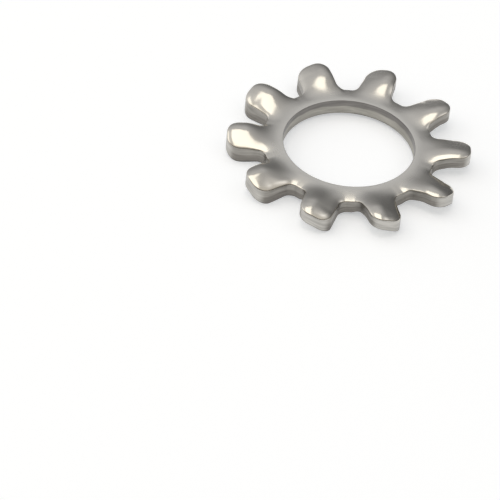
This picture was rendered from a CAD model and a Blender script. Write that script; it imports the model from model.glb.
"""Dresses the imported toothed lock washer: finely modelled steel, a pale floor, lamps and camera."""

import logging
import math
from dataclasses import dataclass, field, replace
from enum import Enum

import bmesh
import bpy
import numpy as np
from mathutils import Matrix, Vector


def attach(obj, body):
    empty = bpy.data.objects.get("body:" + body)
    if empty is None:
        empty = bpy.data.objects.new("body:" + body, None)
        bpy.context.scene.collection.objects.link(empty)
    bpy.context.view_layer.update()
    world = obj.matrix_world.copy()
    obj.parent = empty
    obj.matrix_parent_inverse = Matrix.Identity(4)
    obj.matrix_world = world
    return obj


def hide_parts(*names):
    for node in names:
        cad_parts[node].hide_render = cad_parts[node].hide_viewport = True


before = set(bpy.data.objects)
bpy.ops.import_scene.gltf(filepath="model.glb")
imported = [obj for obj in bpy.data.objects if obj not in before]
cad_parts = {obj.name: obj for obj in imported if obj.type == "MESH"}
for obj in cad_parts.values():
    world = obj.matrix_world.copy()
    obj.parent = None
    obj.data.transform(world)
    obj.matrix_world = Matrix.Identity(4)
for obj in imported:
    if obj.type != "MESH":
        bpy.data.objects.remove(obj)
log = logging.getLogger("lock_washer")

NODE = "lock_washer"
BODY = "root"
MILLIMETRE = 0.001
STUDIO_TURN = -4.68
WARM_WHITE = (1.0, 0.96, 0.87)
PLAN_FLIP = np.array([1.0, -1.0])

Socket = bpy.types.NodeSocket
Look = tuple[object, object]


class Lean(Enum):
    """Which way the teeth are turned about their own radii, seen from the axis."""

    LEFT_EDGE_DOWN = 1.0
    LEFT_EDGE_UP = -1.0


class Zone(Enum):
    """Names of the point attributes that tell the finish where on the washer it is."""

    WALL = "wall"
    DEPTH = "depth"
    ALONG = "along"


def ease(share: np.ndarray) -> np.ndarray:
    """Smooth step: three times the square less twice the cube, held between 0 and 1.

    Args:
        share: Values that run from 0 to 1 over the stretch that is eased.

    Returns:
        The eased values, flat at both ends.
    """
    held = np.clip(share, 0.0, 1.0)
    return held * held * (3.0 - 2.0 * held)


def ray(angle: np.ndarray) -> np.ndarray:
    """Unit vectors at the given angles from the tooth's middle line, one row for each."""
    return np.stack([np.cos(angle), np.sin(angle)], axis=1)


@dataclass
class ToothOutline:
    """Outline of one tenth of the flat washer, in millimetres, with its tooth along +X.

    The upper half runs from the middle of a gap, round the gap's corner, up the tooth's side
    and round its tip corner to the middle of the tip. The lower half is its mirror image.
    """

    gap_radius: float = 3.509
    tip_radius: float = 4.949
    root_width: float = 1.44
    tip_width: float = 1.36
    gap_corner: float = 0.34
    tip_corner: float = 0.557
    tooth_count: int = 10
    gap_steps: int = 4
    gap_corner_steps: int = 12
    side_steps: int = 14
    tip_corner_steps: int = 14
    tip_steps: int = 8

    def __post_init__(self) -> None:
        """Works out the corner arcs' centres and where each stretch meets the next."""
        self.half_pitch = math.pi / self.tooth_count
        self.taper = (self.tip_width - self.root_width) / 2 / (self.tip_radius - self.gap_radius)
        self.slant = math.hypot(1.0, self.taper)
        self.gap_centre = self._arc_centre(self.gap_radius + self.gap_corner, self.gap_corner)
        self.tip_centre = self._arc_centre(self.tip_radius - self.tip_corner, -self.tip_corner)
        self.gap_angle = math.atan2(self.gap_centre[1], self.gap_centre[0])
        self.tip_angle = math.atan2(self.tip_centre[1], self.tip_centre[0])
        self.side_start = self.gap_centre[0] + self.gap_corner * self.taper / self.slant
        self.side_end = self.tip_centre[0] - self.tip_corner * self.taper / self.slant

    def side(self, distance: np.ndarray) -> np.ndarray:
        """Half the straight-sided width at a distance from the axis."""
        return self.root_width / 2 + self.taper * (distance - self.gap_radius)

    def _arc_centre(self, reach: float, offset: float) -> tuple[float, float]:
        """Centre of an arc that touches the tooth's side.

        The centre lies on a line beside the side at the arc's radius, where that line crosses
        the circle of the given reach about the axis: the larger root of a quadratic.

        Args:
            reach: Distance of the centre from the washer's axis.
            offset: Radius of the arc, negative where the arc lies inside the tooth.

        Returns:
            The centre's place along and across the tooth.
        """
        level = self.root_width / 2 - self.taper * self.gap_radius + offset * self.slant
        square = 1.0 + self.taper**2
        half_linear = self.taper * level
        root = math.sqrt(half_linear**2 - square * (level**2 - reach**2))
        along = (root - half_linear) / square
        return along, level + self.taper * along

    def half(self) -> tuple[np.ndarray, np.ndarray]:
        """Points of the upper half outline and the unit directions into the metal.

        Returns:
            Two arrays of as many rows of along and across.
        """
        to_side = math.atan2(-1.0, self.taper)
        from_side = math.atan2(1.0, -self.taper)
        gap = np.linspace(self.half_pitch, self.gap_angle, self.gap_steps + 1)
        corner = np.linspace(self.gap_angle - math.pi, to_side, self.gap_corner_steps + 1)[1:]
        along = np.linspace(self.side_start, self.side_end, self.side_steps + 1)[1:-1]
        round_tip = np.linspace(from_side, self.tip_angle, self.tip_corner_steps + 1)
        tip = np.linspace(self.tip_angle, 0.0, self.tip_steps + 1)[1:]
        slope = np.array([self.taper, -1.0]) / self.slant
        points = np.concatenate([
            self.gap_radius * ray(gap),
            np.array(self.gap_centre) + self.gap_corner * ray(corner),
            np.stack([along, self.side(along)], axis=1),
            np.array(self.tip_centre) + self.tip_corner * ray(round_tip),
            self.tip_radius * ray(tip),
        ])
        inward = np.concatenate([
            -ray(gap),
            ray(corner),
            np.repeat(slope[None], len(along), axis=0),
            -ray(round_tip),
            -ray(tip),
        ])
        return points, inward

    def inset(self, along: np.ndarray, across: np.ndarray) -> np.ndarray:
        """Distance from the rim, worked out from the stretch of outline that is nearest.

        It is the distance to the gap circle beside a gap, to the gap's corner arc at the root,
        to the straight side or the tip circle in the tooth, and to the tip's corner arc beyond
        that arc's centre.

        Args:
            along: Distances along the tooth.
            across: Distances across it.

        Returns:
            The distances into the metal.
        """
        u = np.abs(across)
        reach = np.hypot(along, u)
        angle = np.arctan2(u, along)
        beside_gap = self.gap_radius - reach
        root = np.hypot(along - self.gap_centre[0], u - self.gap_centre[1]) - self.gap_corner
        side = (self.side(along) - u) / self.slant
        straight = np.minimum(side, self.tip_radius - reach)
        corner = self.tip_corner - np.hypot(along - self.tip_centre[0], u - self.tip_centre[1])
        in_corner = (along > self.side_end) & (angle > self.tip_angle)
        tooth = np.where(in_corner, corner, straight)
        inner = np.where(along < self.side_start, root, tooth)
        return np.where(angle > self.gap_angle, beside_gap, inner)


@dataclass(frozen=True)
class ToothTrim:
    """What the press left one tooth out by: the turn in degrees, lengths in millimetres.

    The crown and the roll of the lowered side are shares of what the other teeth have.
    """

    twist: float
    rise: float
    raised_bend: float
    lowered_bend: float
    tip_depth: float
    lowered_crown: float = 1.0
    lowered_roll: float = 1.0


@dataclass
class TwistedSheet:
    """How a point of the flat washer moves when its tooth is turned, in millimetres.

    The turn is in degrees. gap_end holds the two distances from the axis between which the
    deeper crown beside a gap is eased out.
    """

    outline: ToothOutline
    thickness: float = 0.65
    ring_base: float = 0.1478
    twist: float = 17.805
    twist_start: float = 2.732
    twist_end: float = 4.358
    twist_power: float = 1.536
    rise: float = 0.2
    rise_start: float = 2.939
    rise_end: float = 4.213
    raised_bend: float = 0.375
    lowered_bend: float = 0.002
    raised_under: float = 0.158
    lowered_under: float = 0.27
    crown_depth: float = 0.056
    crown_width: float = 0.68
    crown_power: float = 1.722
    crown_lowered: float = 1.0
    gap_crown: float = 1.7
    gap_reach: float = 0.5
    gap_past: float = 0.2
    gap_end: tuple[float, float] = (3.6, 4.3)
    side_blend: float = 0.6
    tip_depth: float = 0.026
    tip_skew: float = 0.135
    tip_start: float = 4.417
    tip_power: float = 1.837
    roll_depth: float = 0.018
    roll_lowered: float = 1.498
    roll_width: float = 0.194
    roll_power: float = 1.622
    edge_depth: float = 0.061
    edge_width: float = 0.03
    bore_edge: float = 0.015
    mid_gap_share: float = 0.92
    least_hold: float = 0.02
    lean: Lean = Lean.LEFT_EDGE_DOWN

    def trimmed(self, trim: ToothTrim) -> "TwistedSheet":
        """The same sheet with one tooth's own differences.

        Args:
            trim: The tooth's differences.

        Returns:
            A sheet for that tooth.
        """
        return replace(
            self, twist=self.twist + trim.twist, rise=self.rise + trim.rise,
            raised_bend=self.raised_bend + trim.raised_bend,
            lowered_bend=self.lowered_bend + trim.lowered_bend,
            tip_depth=self.tip_depth + trim.tip_depth,
            crown_lowered=self.crown_lowered * trim.lowered_crown,
            roll_lowered=self.roll_lowered * trim.lowered_roll,
        )

    def beside_gap(self, along: np.ndarray, across: np.ndarray) -> np.ndarray:
        """How far a point belongs to the ring beside a gap.

        Args:
            along: Distances from the axis along the tooth.
            across: Distances across it.

        Returns:
            Shares that are 0 in a tooth and eased to 1 past its side, near the ring.
        """
        start, end = self.gap_end
        inner = self.outline.side(along) - self.gap_reach
        share = ease((np.abs(across) - inner) / (self.gap_reach + self.gap_past))
        return share * (1.0 - ease((along - start) / (end - start)))

    def turned(self, along: np.ndarray) -> np.ndarray:
        """Share of the tooth's length that is past the start of the turn, eased at both ends."""
        return ease((along - self.twist_start) / (self.twist_end - self.twist_start))

    def sunk(self, along: np.ndarray, across: np.ndarray, inset: np.ndarray) -> np.ndarray:
        """How far the upper face has sunk under the flat of the ring.

        It adds four parts: the crown, a power of the share of its width that is left to the rim
        and deeper beside a gap; the drop of the tip, a power of the share of its length that is
        passed and deeper on the raised side; the teeth's rolled rim, again a power of the share
        left; and the rim's rounded edge, a quarter ellipse.

        Args:
            along: Distances from the axis along the tooth.
            across: Distances across it.
            inset: Distances from the rim.

        Returns:
            The depths.
        """
        lowered = across * self.lean.value
        on_lowered = ease(0.5 + lowered / self.side_blend)
        in_tooth = self.turned(along) * self.hold(along, across)
        share = 1.0 - (1.0 - self.gap_crown) * self.beside_gap(along, across)
        share = share * (1.0 - (1.0 - self.crown_lowered) * on_lowered * in_tooth)
        crown = np.clip(1.0 - inset / self.crown_width, 0.0, 1.0) ** self.crown_power
        reach = np.hypot(along, across)
        tip_length = self.outline.tip_radius - self.tip_start
        passed = np.clip((reach - self.tip_start) / tip_length, 0.0, 1.0)
        half_width = self.outline.tip_width / 2
        tip = self.tip_depth * (1.0 - self.tip_skew * lowered / half_width) * passed**self.tip_power
        side = 1.0 + (self.roll_lowered - 1.0) * on_lowered
        roll = np.clip(1.0 - inset / self.roll_width, 0.0, 1.0) ** self.roll_power
        left = np.clip(1.0 - inset / self.edge_width, 0.0, 1.0)
        edge = self.edge_depth * (1.0 - np.sqrt(1.0 - left**2))
        rolled = self.roll_depth * side * in_tooth * roll
        return share * self.crown_depth * crown + tip + rolled + edge

    def hold(self, along: np.ndarray, across: np.ndarray) -> np.ndarray:
        """Share of the turn that is left beside the tooth.

        Args:
            along: Distances from the axis along the tooth.
            across: Distances across it.

        Returns:
            Shares that are 1 inside the tooth and eased to 0 near the middle of the gap.
        """
        inner = self.outline.side(along)
        middle = along * math.tan(self.mid_gap_share * self.outline.half_pitch)
        outer = np.maximum(middle, inner + self.least_hold)
        return 1.0 - ease((np.abs(across) - inner) / (outer - inner))

    def place(self, along: np.ndarray, across: np.ndarray, height: np.ndarray) -> np.ndarray:
        """Turns points of the flat tooth about its radius.

        The turn and the rise of the tooth's middle each grow with the distance from the axis as
        an eased step. Away from the middle the sheet bends down by the square of the distance
        across, with a factor of its own for each side and face. The walls stay plumb, and no
        point goes below the table.

        Args:
            along: Distances from the axis along the tooth.
            across: Distances across it.
            height: Heights over the middle of the sheet.

        Returns:
            The points in the washer's frame, one row for each.
        """
        held = self.hold(along, across)
        turned = self.turned(along) ** self.twist_power * held
        risen = ease((along - self.rise_start) / (self.rise_end - self.rise_start)) * held
        angle = np.radians(self.twist) * turned * self.lean.value
        upper = np.clip(0.5 + height / self.thickness, 0.0, 1.0)
        lowered = across * self.lean.value > 0.0
        bend = np.where(
            lowered, upper * self.lowered_bend + (1.0 - upper) * self.lowered_under,
            upper * self.raised_bend + (1.0 - upper) * self.raised_under,
        )
        middle = self.ring_base + self.thickness / 2 + self.rise * risen - bend * across**2 * turned
        stand = np.maximum(middle - across * np.sin(angle) + height, 0.0)
        return np.stack([along, across * np.cos(angle), stand], axis=-1)


@dataclass
class SheetPatch:
    """A grid of points of the flat washer, with what the finish needs to know of each."""

    along: np.ndarray
    across: np.ndarray
    height: np.ndarray
    wall: np.ndarray
    depth: np.ndarray


@dataclass
class LockWasher:
    """The whole washer as one closed surface, in millimetres."""

    outline: ToothOutline = field(default_factory=ToothOutline)
    bore_radius: float = 2.675
    band_width: float = 0.34
    roll_steps: int = 9
    edge_steps: int = 6
    wall_steps: int = 10
    lower_band_steps: int = 7
    ring_steps: int = 10
    bore_steps: int = 14
    under_power: float = 1.5
    bore_under: tuple[float, ...] = (0.3, 0.7, 1.0)
    merge_distance: float = 0.0002
    trims: tuple[ToothTrim, ...] = (
        ToothTrim(-1.2, -0.04, -0.024, -0.016, 0.002, 0.25, 0.1),
        ToothTrim(-0.5, -0.025, 0.014, 0.02, -0.005, 0.55, 0.0),
        ToothTrim(0.6, -0.013, 0.033, 0.06, -0.012, 0.8, 0.3),
        ToothTrim(0.622, 0.004, -0.007, 0.011, -0.001, 1.0, 0.8),
        ToothTrim(-0.411, 0.009, 0.011, -0.004, 0.002),
        ToothTrim(-0.464, -0.005, -0.022, -0.007, 0.014),
        ToothTrim(-1.418, 0.006, 0.016, 0.018, -0.021),
        ToothTrim(-0.997, -0.015, 0.036, 0.0, 0.034),
        ToothTrim(0.371, 0.004, 0.039, 0.001, 0.028),
        ToothTrim(0.073, 0.004, -0.028, -0.045, 0.005),
    )

    def __post_init__(self) -> None:
        """Lays the teeth out on the sheet they are cut from."""
        self.sheet = TwistedSheet(self.outline)

    def rim_band(self) -> SheetPatch:
        """The rim as a profile carried round the outline.

        The profile comes out from the upper face over the crown and the rounded edge, goes
        down the plumb wall and runs back in under the sheet.

        Returns:
            The band, one row for each step of the profile.
        """
        sheet = self.sheet
        half = sheet.thickness / 2
        crown = np.linspace(self.band_width, sheet.edge_width, self.roll_steps + 1)[:-1]
        swing = np.linspace(0.0, math.pi / 2, self.edge_steps + 1)
        top = np.concatenate([crown, sheet.edge_width * (1.0 - np.sin(swing))])[:, None]
        drop = np.linspace(0.0, 1.0, self.wall_steps + 1)[1:, None]
        under = np.linspace(0.0, 1.0, self.lower_band_steps + 1)[1:, None] ** self.under_power
        inset = np.concatenate([top, 0 * drop, self.band_width * under])
        points, inward = self._whole_outline()
        along = points[None, :, 0] + inset * inward[None, :, 0]
        across = points[None, :, 1] + inset * inward[None, :, 1]
        upper = half - sheet.sunk(along[:len(top)], across[:len(top)], inset[:len(top)])
        wall_height = upper[-1:] + (-half - upper[-1:]) * drop
        spread = np.ones(len(points))
        height = np.concatenate([upper, wall_height, 0 * under * spread - half])
        rounded = np.concatenate([0 * crown, np.sin(swing) ** 2])[:, None]
        wall = np.concatenate([rounded, 0 * drop + 1.0, 0 * under])
        depth = np.concatenate([0 * top, drop, 0 * under + 1.0])
        return SheetPatch(along, across, height, wall * spread, depth * spread)

    def _whole_outline(self) -> tuple[np.ndarray, np.ndarray]:
        """Both halves of the outline as one run.

        Returns:
            The run's points and its directions into the metal.
        """
        points, inward = self.outline.half()
        return (
            np.concatenate([points, points[-2::-1] * PLAN_FLIP]),
            np.concatenate([inward, inward[-2::-1] * PLAN_FLIP]),
        )

    def _marks(self) -> tuple[int, int]:
        """Where the middle of the tooth is cut from the rim.

        Returns:
            Places in the half outline of the side's start and of the middle of the tip corner.
        """
        shape = self.outline
        side = shape.gap_steps + shape.gap_corner_steps
        return side, side + shape.side_steps + shape.tip_corner_steps // 2

    def pad(self) -> tuple[np.ndarray, np.ndarray]:
        """The middle of a tooth inside the rim band, a blend of its four edges.

        It adds the blend between the two sides to the blend between root and tip, and takes
        away the blend of the four corners.

        Returns:
            The grid's distances along and across the tooth.
        """
        points, inward = self.outline.half()
        inner = points + self.band_width * inward
        side_mark, corner_mark = self._marks()
        side = inner[side_mark:corner_mark + 1]
        tip_half = inner[corner_mark:]
        tip = np.concatenate([tip_half, tip_half[-2::-1] * PLAN_FLIP])
        rise = ((side[:, 0] - side[0, 0]) / (side[-1, 0] - side[0, 0]))[:, None, None]
        swing = ((tip[0, 1] - tip[:, 1]) / (2 * tip[0, 1]))[None, :, None]
        left, right = side[:, None, :], (side * PLAN_FLIP)[:, None, :]
        root = left[:1] * (1 - swing) + right[:1] * swing
        ends = left[-1:] * (1 - swing) + right[-1:] * swing
        grid = (
            left * (1 - swing) + right * swing
            + root * (1 - rise) + tip[None] * rise
            - root * (1 - rise) - ends * rise
        )
        return grid[..., 0], grid[..., 1]

    def ring(self) -> tuple[np.ndarray, np.ndarray]:
        """The flat of the ring, drawn along rays from the rim band and tooth root to the bore.

        Returns:
            The grid's distances along and across the tooth.
        """
        points, inward = self.outline.half()
        inner = points + self.band_width * inward
        side_mark, corner_mark = self._marks()
        gap = inner[:side_mark + 1]
        pad_along, pad_across = self.pad()
        root = np.stack([pad_along[0], pad_across[0]], axis=1)
        edge = np.concatenate([gap, root[1:-1], gap[::-1] * PLAN_FLIP])
        reach = np.hypot(edge[:, 0], edge[:, 1])
        angle = np.arctan2(edge[:, 1], edge[:, 0])
        inner_reach = self.bore_radius + self.sheet.bore_edge
        share = np.linspace(0.0, 1.0, self.ring_steps + 1)[:, None]
        radius = reach * (1 - share) + inner_reach * share
        return radius * np.cos(angle), radius * np.sin(angle)

    def face(self, along: np.ndarray, across: np.ndarray, upper: bool) -> SheetPatch:
        """Lays a plan grid on the upper or the lower face of the sheet.

        Args:
            along: Distances along the tooth.
            across: Distances across it.
            upper: Whether the face is the upper one, with its rolled rim.

        Returns:
            The patch at the face's height.
        """
        half = self.sheet.thickness / 2
        blank = np.zeros_like(along)
        if not upper:
            return SheetPatch(along, across, blank - half, blank, blank + 1.0)
        sunk = self.sheet.sunk(along, across, self.outline.inset(along, across))
        return SheetPatch(along, across, half - sunk, blank, blank)

    def bore_band(self) -> SheetPatch:
        """The bore as a profile turned about the axis: a quarter ellipse over a straight wall.

        Returns:
            The band, one row for each step of the profile.
        """
        sheet = self.sheet
        half = sheet.thickness / 2
        along, across = self.ring()
        angle = np.arctan2(across[-1], along[-1])
        roll_steps = self.bore_steps // 2
        swing = np.linspace(0.0, math.pi / 2, roll_steps + 1)
        drop = np.linspace(0.0, 1.0, self.bore_steps - roll_steps + 1)[1:]
        under = np.array(self.bore_under)
        width = sheet.bore_edge
        out = np.concatenate([width * (1 - np.sin(swing)), 0 * drop, width * under])
        radius = out + self.bore_radius
        top = half - width * (1 - np.cos(swing))
        height = np.concatenate([top, top[-1] + (-half - top[-1]) * drop, 0 * under - half])
        wall = np.concatenate([1.0 - (1.0 - np.sin(swing)) ** 4, 0 * drop + 1.0, 0 * under])
        depth = np.concatenate([0 * swing, drop, 0 * under + 1.0])
        spread = np.ones(len(angle))
        return SheetPatch(
            radius[:, None] * np.cos(angle), radius[:, None] * np.sin(angle),
            height[:, None] * spread, wall[:, None] * spread, depth[:, None] * spread,
        )

    def patches(self) -> list[SheetPatch]:
        """Every patch of one tenth of the washer.

        Returns:
            The rim, the middle of the tooth and the ring on both faces, and the bore.
        """
        pad, ring = self.pad(), self.ring()
        return [
            self.rim_band(),
            self.face(*pad, upper=True), self.face(*ring, upper=True),
            self.face(*pad, upper=False), self.face(*ring, upper=False),
            self.bore_band(),
        ]

    def build(self) -> bpy.types.Object:
        """Turns the patches round the axis, each with its tooth's trim, and closes the seams.

        Returns:
            The washer as an object at the origin.
        """
        points, quads, start = [], [], 0
        values: dict[Zone, list[np.ndarray]] = {zone: [] for zone in Zone}
        plain = self.sheet
        for tooth, trim in enumerate(self.trims):
            self.sheet = plain.trimmed(trim)
            turn = 2 * self.outline.half_pitch * tooth
            cos, sin = math.cos(turn), math.sin(turn)
            spin = np.array([[cos, sin, 0.0], [-sin, cos, 0.0], [0.0, 0.0, 1.0]])
            for patch in self.patches():
                rows, columns = patch.along.shape
                flat = self.sheet.place(patch.along, patch.across, patch.height).reshape(-1, 3)
                corner = np.arange(rows * columns).reshape(rows, columns) + start
                cell = np.stack(
                    [corner[:-1, :-1], corner[:-1, 1:], corner[1:, 1:], corner[1:, :-1]], axis=-1)
                points.append(flat @ spin)
                quads.append(cell.reshape(-1, 4))
                start += rows * columns
                known = {Zone.WALL: patch.wall, Zone.DEPTH: patch.depth, Zone.ALONG: patch.along}
                for zone, value in known.items():
                    values[zone].append(value.ravel())
        self.sheet = plain
        return self._mesh_object(np.concatenate(points), np.concatenate(quads), values)

    def _mesh_object(
        self, points: np.ndarray, quads: np.ndarray, values: dict[Zone, list[np.ndarray]],
    ) -> bpy.types.Object:
        """Puts the arrays into a mesh, merges the seams and turns the faces outwards.

        Args:
            points: Corner points in millimetres.
            quads: Four corner numbers for each face.
            values: The finish's attributes, one list of arrays for each zone.

        Returns:
            The finished object.
        """
        mesh = bpy.data.meshes.new(NODE + "_surface")
        mesh.from_pydata(points * MILLIMETRE, [], quads)
        for zone, parts in values.items():
            attribute = mesh.attributes.new(zone.value, "FLOAT", "POINT")
            attribute.data.foreach_set("value", np.concatenate(parts).astype(np.float32))
        shell = bmesh.new()
        shell.from_mesh(mesh)
        bmesh.ops.remove_doubles(shell, verts=shell.verts, dist=self.merge_distance * MILLIMETRE)
        bmesh.ops.recalc_face_normals(shell, faces=shell.faces)
        open_edges = sum(1 for edge in shell.edges if not edge.is_manifold)
        shell.to_mesh(mesh)
        shell.free()
        mesh.polygons.foreach_set("use_smooth", np.ones(len(mesh.polygons), dtype=bool))
        piece = bpy.data.objects.new(NODE + "_body", mesh)
        bpy.context.scene.collection.objects.link(piece)
        log.info("%s: %d faces, %d open edges", piece.name, len(mesh.polygons), open_edges)
        return piece


class Graph:
    """A node tree, with short ways to add nodes and to join them.

    A term is a plain number or tuple, or another node's output.
    """

    def __init__(self, tree: bpy.types.NodeTree) -> None:
        """Keeps the tree that nodes go into."""
        self.tree = tree

    def add(self, kind: str, **settings: object) -> bpy.types.Node:
        """Adds a node and sets its properties.

        Args:
            kind: The node's type.
            settings: Its properties by their names.

        Returns:
            The node.
        """
        node = self.tree.nodes.new(kind)
        for name, value in settings.items():
            setattr(node, name, value)
        return node

    def feed(self, socket: Socket, term: object) -> None:
        """Links an input to an output, or sets it where the term is plain.

        Args:
            socket: The input.
            term: What goes into it.
        """
        if isinstance(term, Socket):
            self.tree.links.new(term, socket)
        else:
            socket.default_value = term

    def value(self, number: float) -> Socket:
        """A fixed number as an output.

        Args:
            number: The number.

        Returns:
            The output that gives it.
        """
        node = self.add("ShaderNodeValue")
        node.outputs[0].default_value = number
        return node.outputs[0]

    def math(self, operation: str, *terms: object) -> Socket:
        """Works out a number.

        Args:
            operation: What is done.
            terms: Up to three terms.

        Returns:
            The result.
        """
        node = self.add("ShaderNodeMath", operation=operation)
        for socket, term in zip(node.inputs, terms):
            self.feed(socket, term)
        return node.outputs[0]

    def vector(self, operation: str, *terms: object) -> bpy.types.Node:
        """Works on vectors.

        Args:
            operation: What is done.
            terms: One or two terms.

        Returns:
            The node, whose outputs are a vector and a number.
        """
        node = self.add("ShaderNodeVectorMath", operation=operation)
        for socket, term in zip(node.inputs, terms):
            self.feed(socket, term)
        return node

    def attribute(self, zone: Zone) -> Socket:
        """The value that the mesh keeps under a zone's name."""
        return self.add("ShaderNodeAttribute", attribute_name=zone.value).outputs["Fac"]

    def between(self, value: object, start: float, end: float) -> Socket:
        """Smooth step of a value.

        Args:
            value: The term that is looked at.
            start: Where the step is still 0.
            end: Where it has come to 1.

        Returns:
            The step.
        """
        node = self.add("ShaderNodeMapRange", interpolation_type="SMOOTHSTEP")
        for name, term in (("Value", value), ("From Min", start), ("From Max", end)):
            self.feed(node.inputs[name], term)
        return node.outputs["Result"]

    def mix(self, share: object, first: object, second: object) -> Socket:
        """A number that goes from the first to the second as the share goes from 0 to 1.

        Args:
            share: The second's share.
            first: The number at 0.
            second: The number at 1.

        Returns:
            The number.
        """
        node = self.add("ShaderNodeMix", data_type="FLOAT")
        for place, term in ((0, share), (2, first), (3, second)):
            self.feed(node.inputs[place], term)
        return node.outputs[0]

    def blend(self, share: object, first: object, second: object, way: str = "MIX") -> Socket:
        """A colour that goes from the first to the second as the share goes from 0 to 1.

        Args:
            share: The second's share.
            first: The colour at 0.
            second: The colour at 1.
            way: How the two are laid over each other.

        Returns:
            The colour.
        """
        node = self.add("ShaderNodeMix", data_type="RGBA", blend_type=way)
        for place, term in ((0, share), (6, first), (7, second)):
            self.feed(node.inputs[place], (*term, 1.0) if isinstance(term, tuple) else term)
        return node.outputs[2]

    def noise(self, place: object, scale: float, detail: float) -> Socket:
        """A noise value from 0 to 1 at a place, with its middle near a half.

        Args:
            place: The point.
            scale: How many waves fit in one unit.
            detail: How many finer layers are added.

        Returns:
            The value.
        """
        node = self.add("ShaderNodeTexNoise")
        for name, term in (("Vector", place), ("Scale", scale), ("Detail", detail)):
            self.feed(node.inputs[name], term)
        return node.outputs["Fac"]

    def centred(self, value: object, spread: float) -> Socket:
        """A value from 0 to 1 brought to swing about nought, over the given spread."""
        return self.math("MULTIPLY_ADD", value, spread, -spread / 2)

    def grey(self, value: object) -> Socket:
        """A grey colour.

        Args:
            value: Its level.

        Returns:
            The colour.
        """
        node = self.add("ShaderNodeCombineColor")
        for socket in node.inputs[:3]:
            self.feed(socket, value)
        return node.outputs[0]

    def layers(self, place: object, grain: float = 1200.0, rows: float = 6.0) -> Socket:
        """A place on a sheared edge, drawn out so that a noise there lies in layers along it.

        Args:
            place: The point on the object.
            grain: Units in a metre along the edge.
            rows: Units over the edge's height.

        Returns:
            The place.
        """
        parts = self.add("ShaderNodeSeparateXYZ")
        self.feed(parts.inputs[0], place)
        node = self.add("ShaderNodeCombineXYZ")
        for target, part in zip(node.inputs[:2], parts.outputs[:2]):
            self.feed(target, self.math("MULTIPLY", part, grain))
        self.feed(node.inputs[2], self.math("MULTIPLY", self.attribute(Zone.DEPTH), rows))
        return node.outputs[0]

    def reach(self, place: object) -> Socket:
        """Distance of a point from the washer's axis, in metres."""
        flat = self.vector("MULTIPLY", place, (1.0, 1.0, 0.0))
        return self.vector("LENGTH", flat.outputs["Vector"]).outputs["Value"]

    def stretched(self, place: object, scale: tuple[float, ...], turn: float = 0.0) -> Socket:
        """A place turned about Z and then stretched, for a pattern with a grain.

        Args:
            place: The point on the object.
            scale: Units in a metre along each axis.
            turn: The turn in radians.

        Returns:
            The place.
        """
        turned = self.add("ShaderNodeMapping")
        self.feed(turned.inputs["Vector"], place)
        self.feed(turned.inputs["Rotation"], (0.0, 0.0, turn))
        return self.vector("MULTIPLY", turned.outputs["Vector"], scale).outputs["Vector"]


@dataclass(frozen=True)
class Grain:
    """A pattern in the steel: units in a metre along each axis, its turn, and how it swings."""

    scale: tuple[float, float, float]
    turn: float
    detail: float
    spread: float

    def swing(self, graph: Graph, place: object) -> Socket:
        """The pattern's value about nought at a place.

        Args:
            graph: The finish's nodes.
            place: The point on the object.

        Returns:
            The value.
        """
        drawn = graph.stretched(place, self.scale, self.turn)
        return graph.centred(graph.noise(drawn, 1.0, self.detail), self.spread)


@dataclass(frozen=True)
class Metal:
    """One zone's look: its linear reflectance and its roughness."""

    colour: tuple[float, float, float]
    roughness: float


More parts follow.
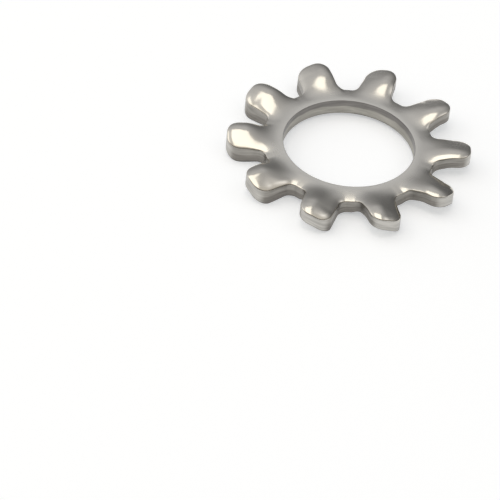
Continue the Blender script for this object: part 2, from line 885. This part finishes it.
@dataclass(frozen=True)
class SpringSteel:
    """Bright stamped spring steel: a satin ring, glossy teeth and dull sheared edges.

    Each sheared edge has a band that the punch has burnished over a torn one. The torn band
    starts at torn_start of the edge's height. A pair of numbers is where one look starts to
    go over to the next and where it has done so: the distance from the axis in metres for
    ring_from and tooth_from, and the distance along the tooth in millimetres for the others.
    """

    name: str = "spring_steel"
    ring: Metal = Metal((0.64, 0.61, 0.555), 0.27)
    rubbed: Metal = Metal((0.80, 0.765, 0.70), 0.26)
    tooth: Metal = Metal((0.635, 0.600, 0.538), 0.16)
    side: Metal = Metal((0.33, 0.315, 0.29), 0.34)
    torn_side: Metal = Metal((0.26, 0.245, 0.225), 0.46)
    tip: Metal = Metal((0.49, 0.475, 0.445), 0.30)
    bore: Metal = Metal((0.21, 0.20, 0.19), 0.36)
    torn_bore: Metal = Metal((0.42, 0.405, 0.37), 0.5)
    under_ring: Metal = Metal((0.52, 0.495, 0.45), 0.33)
    under_tooth: Metal = Metal((0.72, 0.70, 0.65), 0.38)
    ring_from: tuple[float, float] = (0.00262, 0.00315)
    tooth_from: tuple[float, float] = (0.0031, 0.0036)
    rim_from: tuple[float, float] = (2.9, 3.1)
    tip_from: tuple[float, float] = (4.6, 4.86)
    under_tooth_from: tuple[float, float] = (3.6, 3.8)
    beneath_from: float = 0.95
    torn_start: float = 0.42
    torn_blur: float = 0.06
    ragged: Grain = Grain((900.0, 900.0, 300.0), 0.0, 3.0, 0.35)
    mottle: Grain = Grain((500.0, 900.0, 900.0), 0.3, 3.0, 0.14)
    brushed: Grain = Grain((700.0, 9000.0, 900.0), 0.8, 2.0, 0.3)
    streak_spread: float = 0.9
    dulling: float = 0.25
    wave_scale: float = 900.0
    ripple: float = 0.0000035
    edge_ripple: float = 3.0

    def material(self) -> bpy.types.Material:
        """Builds the finish from the zones that the mesh carries.

        Returns:
            The node material.
        """
        made = bpy.data.materials.new(self.name)
        made.use_nodes = True
        graph = Graph(made.node_tree)
        shader = made.node_tree.nodes["Principled BSDF"]
        place = graph.add("ShaderNodeTexCoord").outputs["Object"]
        colour, roughness = self._worn(graph, place, self._zones(graph, place))
        graph.feed(shader.inputs["Base Color"], colour)
        graph.feed(shader.inputs["Roughness"], roughness)
        graph.feed(shader.inputs["Normal"], self._relief(graph, place))
        shader.inputs["Metallic"].default_value = 1.0
        return made

    def _blend(self, graph: Graph, share: object, first: Look, second: Look) -> Look:
        """Goes from one pair of colour and roughness to another as the share goes from 0 to 1."""
        return graph.blend(share, first[0], second[0]), graph.mix(share, first[1], second[1])

    def _zones(self, graph: Graph, place: object) -> Look:
        """Lays ring, tooth, side, tip and bore over the washer.

        Args:
            graph: The finish's nodes.
            place: The point on the object.

        Returns:
            The colour and the roughness as outputs.
        """
        metals = (
            self.ring, self.rubbed, self.tooth, self.side, self.torn_side, self.tip, self.bore,
            self.torn_bore, self.under_ring, self.under_tooth,
        )
        ring, rubbed, tooth, side, torn_side, tip, bore, torn_bore, under_ring, under_tooth = (
            (metal.colour, metal.roughness) for metal in metals
        )
        depth, along = graph.attribute(Zone.DEPTH), graph.attribute(Zone.ALONG)
        depth_here = graph.math("ADD", depth, self.ragged.swing(graph, place))
        torn = graph.between(
            depth_here, self.torn_start - self.torn_blur, self.torn_start + self.torn_blur)
        sheared = self._blend(graph, torn, side, torn_side)
        sheared = self._blend(graph, graph.between(along, *self.tip_from), sheared, tip)
        inner = self._blend(graph, torn, bore, torn_bore)
        sheared = self._blend(graph, graph.between(along, *self.rim_from), inner, sheared)
        reach = graph.reach(place)
        face = self._blend(graph, graph.between(reach, *self.ring_from), rubbed, ring)
        face = self._blend(graph, graph.between(reach, *self.tooth_from), face, tooth)
        at_tooth = graph.between(along, *self.under_tooth_from)
        under = self._blend(graph, at_tooth, under_ring, under_tooth)
        face = self._blend(graph, graph.between(depth, self.beneath_from, 1.0), face, under)
        wall = graph.between(graph.attribute(Zone.WALL), 0.0, 1.0)
        return self._blend(graph, wall, face, sheared)

    def _worn(self, graph: Graph, place: object, look: Look) -> Look:
        """Mottles the upper face, brushes the under one and streaks the sheared edges.

        Args:
            graph: The finish's nodes.
            place: The point on the object.
            look: The colour and the roughness of the clean steel.

        Returns:
            The colour and the roughness as outputs.
        """
        colour, roughness = look
        wall = graph.between(graph.attribute(Zone.WALL), 0.0, 1.0)
        beneath = graph.between(graph.attribute(Zone.DEPTH), self.beneath_from, 1.0)
        mottle = self.mottle.swing(graph, place)
        streak = graph.centred(graph.noise(graph.layers(place), 1.0, 3.0), self.streak_spread)
        faces = graph.mix(beneath, mottle, self.brushed.swing(graph, place))
        shade = graph.math("ADD", graph.mix(wall, faces, streak), 1.0)
        tinted = graph.blend(1.0, colour, graph.grey(shade), "MULTIPLY")
        return tinted, graph.math("MULTIPLY_ADD", mottle, self.dulling, roughness)

    def _relief(self, graph: Graph, place: object) -> Socket:
        """Soft ripples that the press has left in the faces, with a coarser grain on the edges.

        Args:
            graph: The finish's nodes.
            place: The point on the object.

        Returns:
            The shading normal.
        """
        wave = graph.noise(graph.stretched(place, (self.wave_scale,) * 3), 1.0, 2.0)
        grain = graph.noise(graph.layers(place), 2.0, 4.0)
        rough = graph.math("MULTIPLY", grain, self.edge_ripple)
        bump = graph.add("ShaderNodeBump")
        graph.feed(bump.inputs["Strength"], 1.0)
        graph.feed(bump.inputs["Distance"], self.ripple)
        graph.feed(bump.inputs["Height"], graph.mix(graph.attribute(Zone.WALL), wave, rough))
        return bump.outputs["Normal"]


@dataclass
class StudioFloor:
    """A wide pale table that the washer lies on."""

    half_width: float = 0.6
    colour: tuple[float, float, float] = (0.9, 0.9, 0.9)
    glow: float = 0.33
    glow_colour: tuple[float, float, float] = (0.96, 1.0, 1.06)

    def build(self) -> bpy.types.Object:
        """Makes the floor and marks it as stage.

        Returns:
            The floor.
        """
        reach = self.half_width
        mesh = bpy.data.meshes.new("floor")
        corners = [(-reach, -reach, 0), (reach, -reach, 0), (reach, reach, 0), (-reach, reach, 0)]
        mesh.from_pydata(corners, [], [(0, 1, 2, 3)])
        floor = bpy.data.objects.new("floor", mesh)
        bpy.context.scene.collection.objects.link(floor)
        mesh.materials.append(self.paper())
        return floor

    def paper(self) -> bpy.types.Material:
        """White paper that keeps its shadows but looks nearly white, to the eye and in the steel.

        Returns:
            The node material.
        """
        made = bpy.data.materials.new("floor_paper")
        made.use_nodes = True
        made.node_tree.nodes.clear()
        graph = Graph(made.node_tree)
        path = graph.add("ShaderNodeLightPath").outputs
        seen = graph.math("MAXIMUM", path["Is Camera Ray"], path["Is Glossy Ray"])
        through = graph.math("MAXIMUM", seen, path["Is Transmission Ray"])
        diffuse = graph.add("ShaderNodeBsdfDiffuse")
        graph.feed(diffuse.inputs["Color"], (*self.colour, 1.0))
        emission = graph.add("ShaderNodeEmission")
        graph.feed(emission.inputs["Color"], (*self.glow_colour, 1.0))
        graph.feed(emission.inputs["Strength"], graph.math("MULTIPLY", through, self.glow))
        both = graph.add("ShaderNodeAddShader")
        graph.feed(both.inputs[0], diffuse.outputs[0])
        graph.feed(both.inputs[1], emission.outputs[0])
        output = graph.add("ShaderNodeOutputMaterial")
        graph.feed(output.inputs["Surface"], both.outputs[0])
        return made


@dataclass
class SoftBox:
    """A level rectangular lamp over the table, placed by where its edges stand in the sky.

    Each edge is the tangent of its angle from straight overhead: right and away from the camera
    are positive.
    """

    name: str
    left: float
    right: float
    near: float
    far: float
    radiance: float
    height: float = 0.5
    azimuth: float = STUDIO_TURN
    colour: tuple[float, float, float] = WARM_WHITE

    def build(self) -> bpy.types.Object:
        """Hangs the lamp, with the power that gives its radiance: pi times area times radiance.

        Returns:
            The lamp.
        """
        data = bpy.data.lights.new(self.name, "AREA")
        data.shape = "RECTANGLE"
        data.size = (self.right - self.left) * self.height
        data.size_y = (self.far - self.near) * self.height
        data.energy = self.radiance * math.pi * data.size * data.size_y
        data.color = self.colour
        lamp = bpy.data.objects.new(self.name, data)
        middle = Vector(((self.right + self.left) / 2, (self.far + self.near) / 2, 1.0))
        spin = Matrix.Rotation(math.radians(self.azimuth), 4, "Z")
        lamp.matrix_world = spin @ Matrix.Translation(middle * self.height)
        bpy.context.scene.collection.objects.link(lamp)
        return lamp


def sky(azimuth: float, elevation: float) -> Vector:
    """Unit vector towards a place in the sky, with azimuth 0 to the right and 90 away.

    Args:
        azimuth: The angle round the table in degrees.
        elevation: The angle over it in degrees.

    Returns:
        The vector.
    """
    swing, rise = math.radians(azimuth), math.radians(elevation)
    flat = math.cos(rise)
    return Vector((flat * math.cos(swing), flat * math.sin(swing), math.sin(rise)))


@dataclass(frozen=True)
class Glow:
    """A soft glow on the studio's walls: where it stands, how narrow it is, and how bright."""

    azimuth: float
    elevation: float
    narrowness: float
    level: float


@dataclass
class Surround:
    """Grey studio walls round the table, paler to the left and overhead, dim behind and in front.

    The level in a direction is the base plus, for each glow, its level times e to the power of
    its narrowness times the cosine of the angle to it less one.
    """

    base: float = 0.13
    near_tint: tuple[float, float, float] = (1.0, 0.95, 0.86)
    far_tint: tuple[float, float, float] = (0.96, 0.98, 1.02)
    tint_reach: float = 0.8
    turn: float = STUDIO_TURN
    glows: tuple[Glow, ...] = (
        Glow(0.0, 90.0, 6.0, 0.36),
        Glow(90.0, 47.0, 14.0, 0.42),
        Glow(140.0, 20.0, 8.0, 0.53),
        Glow(180.0, 30.0, 8.0, 0.70),
        Glow(0.0, 50.0, 8.0, 0.30),
        Glow(-135.0, 50.0, 8.0, 0.22),
        Glow(-45.0, 50.0, 8.0, 0.33),
        Glow(22.0, 53.0, 60.0, 0.85),
        Glow(151.0, 58.0, 20.0, 0.28),
        Glow(100.0, 2.0, 20.0, 0.10),
    )

    def build(self) -> bpy.types.World:
        """Builds the world from its base level and its glows.

        Returns:
            The world.
        """
        world = bpy.data.worlds.new("surround")
        bpy.context.scene.world = world
        world.use_nodes = True
        graph = Graph(world.node_tree)
        facing = graph.add("ShaderNodeTexCoord").outputs["Generated"]
        level = graph.value(self.base)
        for glow in self.glows:
            middle = sky(glow.azimuth + self.turn, glow.elevation)
            toward = graph.vector("DOT_PRODUCT", facing, middle).outputs["Value"]
            swell = graph.math("MULTIPLY_ADD", toward, glow.narrowness, -glow.narrowness)
            level = graph.math("MULTIPLY_ADD", graph.math("EXPONENT", swell), glow.level, level)
        away = graph.vector("DOT_PRODUCT", facing, sky(90.0 + self.turn, 0.0)).outputs["Value"]
        share = graph.between(away, -self.tint_reach, self.tint_reach)
        background = world.node_tree.nodes["Background"]
        graph.feed(background.inputs["Color"], graph.blend(share, self.near_tint, self.far_tint))
        graph.feed(background.inputs["Strength"], level)
        bpy.context.scene.view_settings.view_transform = "Standard"
        return world


@dataclass
class StudioCamera:
    """A long lens that looks down on the washer from the front."""

    elevation: float = 41.168
    azimuth: float = -4.551
    roll: float = 6.738
    distance: float = 0.1919
    aim_height: float = 0.000499
    centre_right: float = 0.003970
    centre_up: float = 0.004086
    frame_width: float = 0.020177
    sensor: float = 36.0

    def build(self) -> bpy.types.Object:
        """Sets the camera up and makes it the scene's.

        Returns:
            The camera.
        """
        rise, roll = math.radians(self.elevation), math.radians(self.roll)
        back = Vector((0.0, -math.cos(rise), math.sin(rise)))
        level_up = Vector((0.0, math.sin(rise), math.cos(rise)))
        level_right = Vector((1.0, 0.0, 0.0))
        right = level_right * math.cos(roll) + level_up * math.sin(roll)
        up = level_up * math.cos(roll) - level_right * math.sin(roll)
        spin = Matrix.Rotation(math.radians(self.azimuth), 3, "Z")
        back, right, up = spin @ back, spin @ right, spin @ up
        middle = Vector((0.0, 0.0, self.aim_height))
        data = bpy.data.cameras.new("camera")
        data.sensor_width = self.sensor
        data.lens = self.sensor * self.distance / self.frame_width
        data.clip_start, data.clip_end = 0.01, 10.0
        camera = bpy.data.objects.new("camera", data)
        place = middle + back * self.distance - right * self.centre_right - up * self.centre_up
        facing = Matrix((right, up, back)).transposed().to_4x4()
        camera.matrix_world = Matrix.Translation(place) @ facing
        bpy.context.scene.collection.objects.link(camera)
        bpy.context.scene.camera = camera
        return camera


@dataclass
class Studio:
    """The floor, the lamps, the walls and the camera round the washer."""

    floor: StudioFloor = field(default_factory=StudioFloor)
    lamps: tuple[SoftBox, ...] = (
        SoftBox("overhead", left=-0.40, right=0.17, near=-0.39, far=0.53, radiance=1.2),
        SoftBox("left_side", left=-1.15, right=-0.72, near=-0.2, far=0.55, radiance=0.85),
    )
    surround: Surround = field(default_factory=Surround)
    camera: StudioCamera = field(default_factory=StudioCamera)

    def build(self) -> None:
        """Sets everything up round the origin."""
        for part in (self.floor, *self.lamps, self.surround, self.camera):
            part.build()


def main() -> None:
    logging.basicConfig(level=logging.INFO)
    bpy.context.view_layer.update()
    washer = LockWasher().build()
    washer.data.materials.append(SpringSteel().material())
    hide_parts(NODE)
    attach(washer, BODY)
    Studio().build()


if __name__ == "__main__":
    main()
